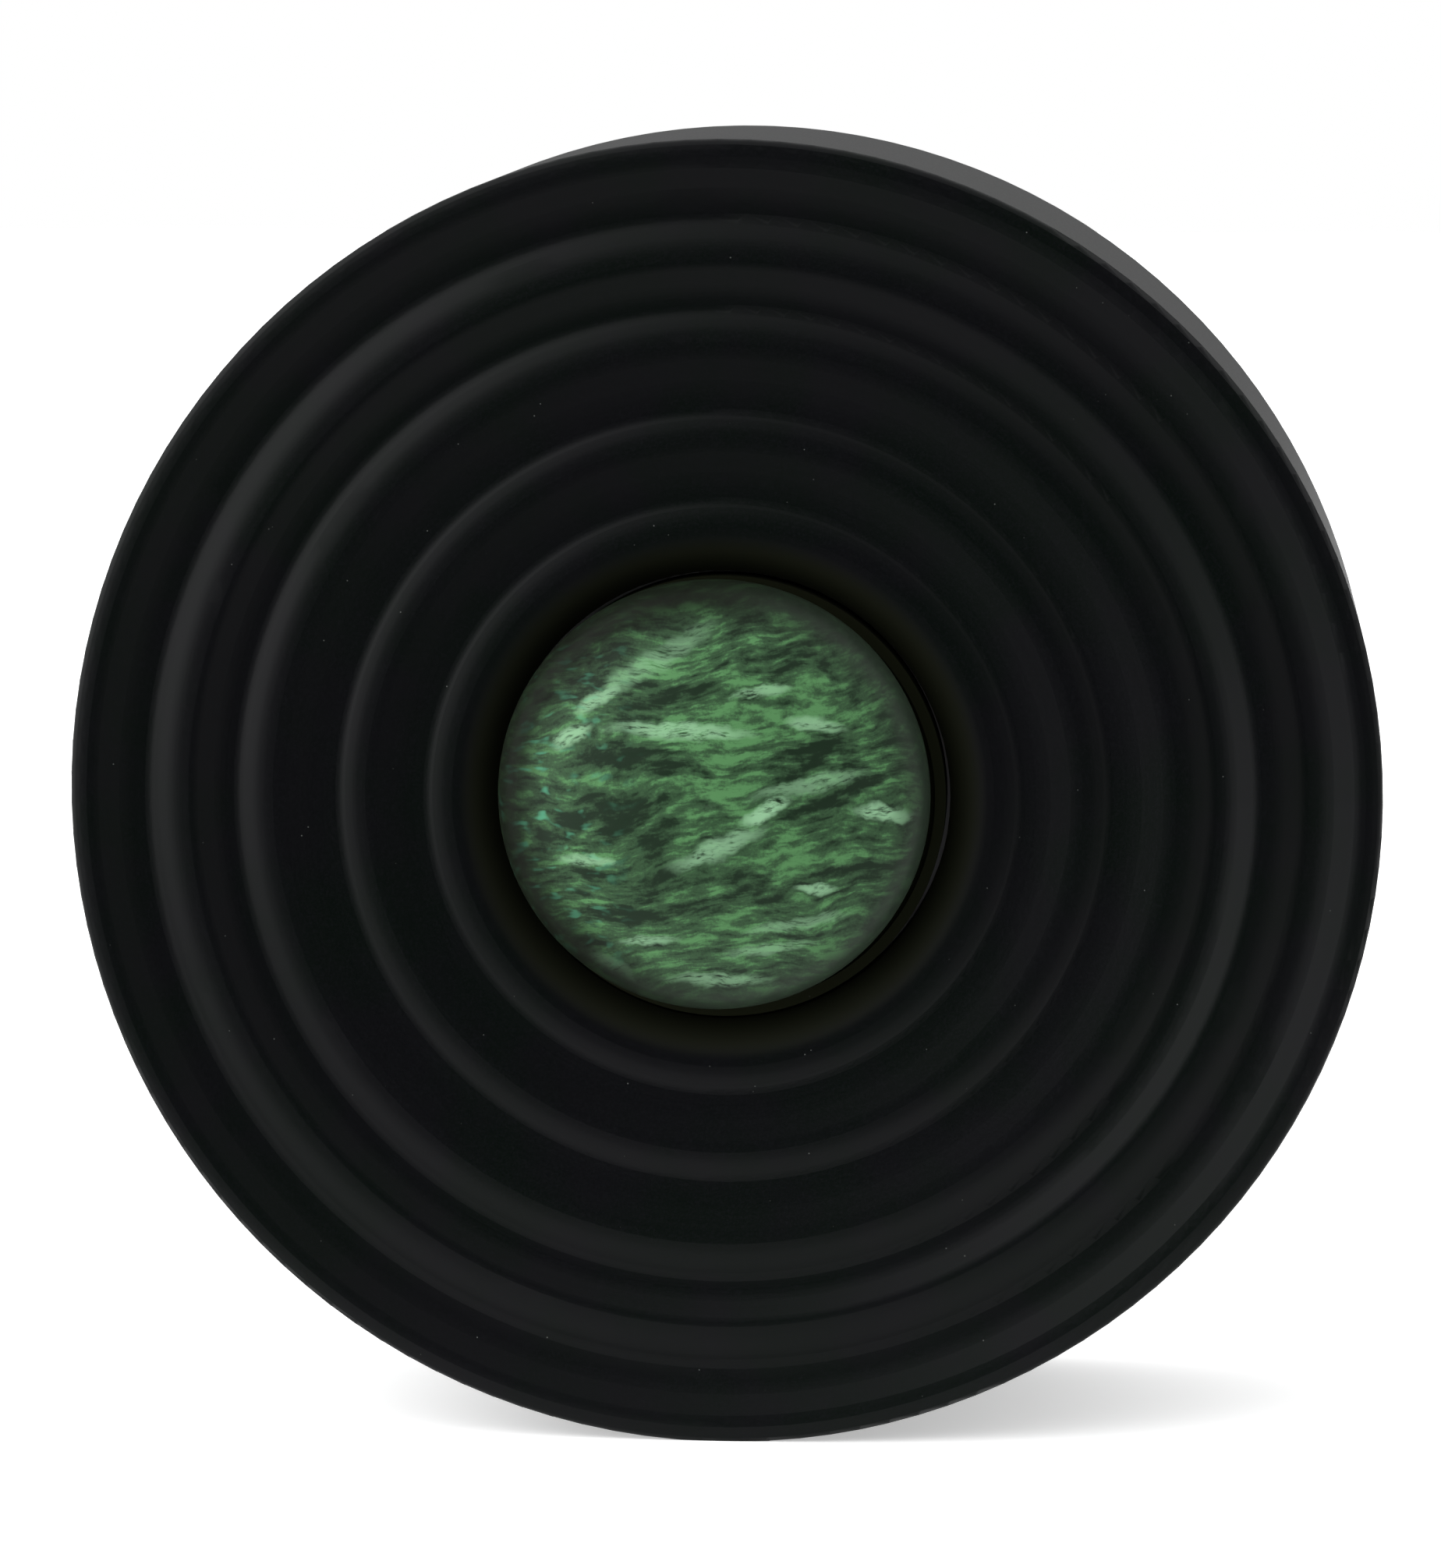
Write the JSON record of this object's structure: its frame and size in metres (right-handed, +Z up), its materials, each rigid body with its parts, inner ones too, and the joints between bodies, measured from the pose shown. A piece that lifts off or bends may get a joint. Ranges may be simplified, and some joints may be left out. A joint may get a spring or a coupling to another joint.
{
  "type": "inkwell",
  "caption": "Round desk inkwell: a satin black turned drum with a rippled face, a glass ink pot inside, and a pull-out stopper topped with a domed green stone.",
  "frame": {"origin": "middle of the narrow flat on the drum's rim, on which the inkwell stands face forward", "axes": "+Z up; +Y from the rippled face to the back, along the drum's axis; +X across the face"},
  "size_m": [0.08, 0.0309, 0.0799],
  "materials": {
    "shell_black": "satin turned hard rubber",
    "collar_steel": "turned, fine",
    "rubber_black": "matte",
    "pot_glass": "clear pressed glass",
    "cork": "agglomerated cork",
    "cover_black": "satin",
    "insert_brass": "turned",
    "screw_steel": "zinc plated",
    "pad_leather": "fine grain",
    "plug_black": "satin turned hard rubber",
    "seal_rubber": "smooth",
    "stone_green": "polished, silky fibres"
  },
  "bodies": {
    "drum": {"body_shell": "shell_black", "mouth_collar": "collar_steel", "pot_gasket": "rubber_black", "ink_pot": "pot_glass", "pot_cushion": "cork", "back_cover": "cover_black", "screw_inserts": "insert_brass", "cover_screws": "screw_steel", "back_pad": "pad_leather"},
    "stopper": {"stopper_plug": "plug_black", "stopper_ring": "seal_rubber", "stone_cabochon": "stone_green"}
  },
  "joints": [
    {"name": "stopper_pull", "type": "slide", "parent": "drum", "child": "stopper", "axis": [0, -1, 0], "range_m": [0, 0.04]}
  ]
}
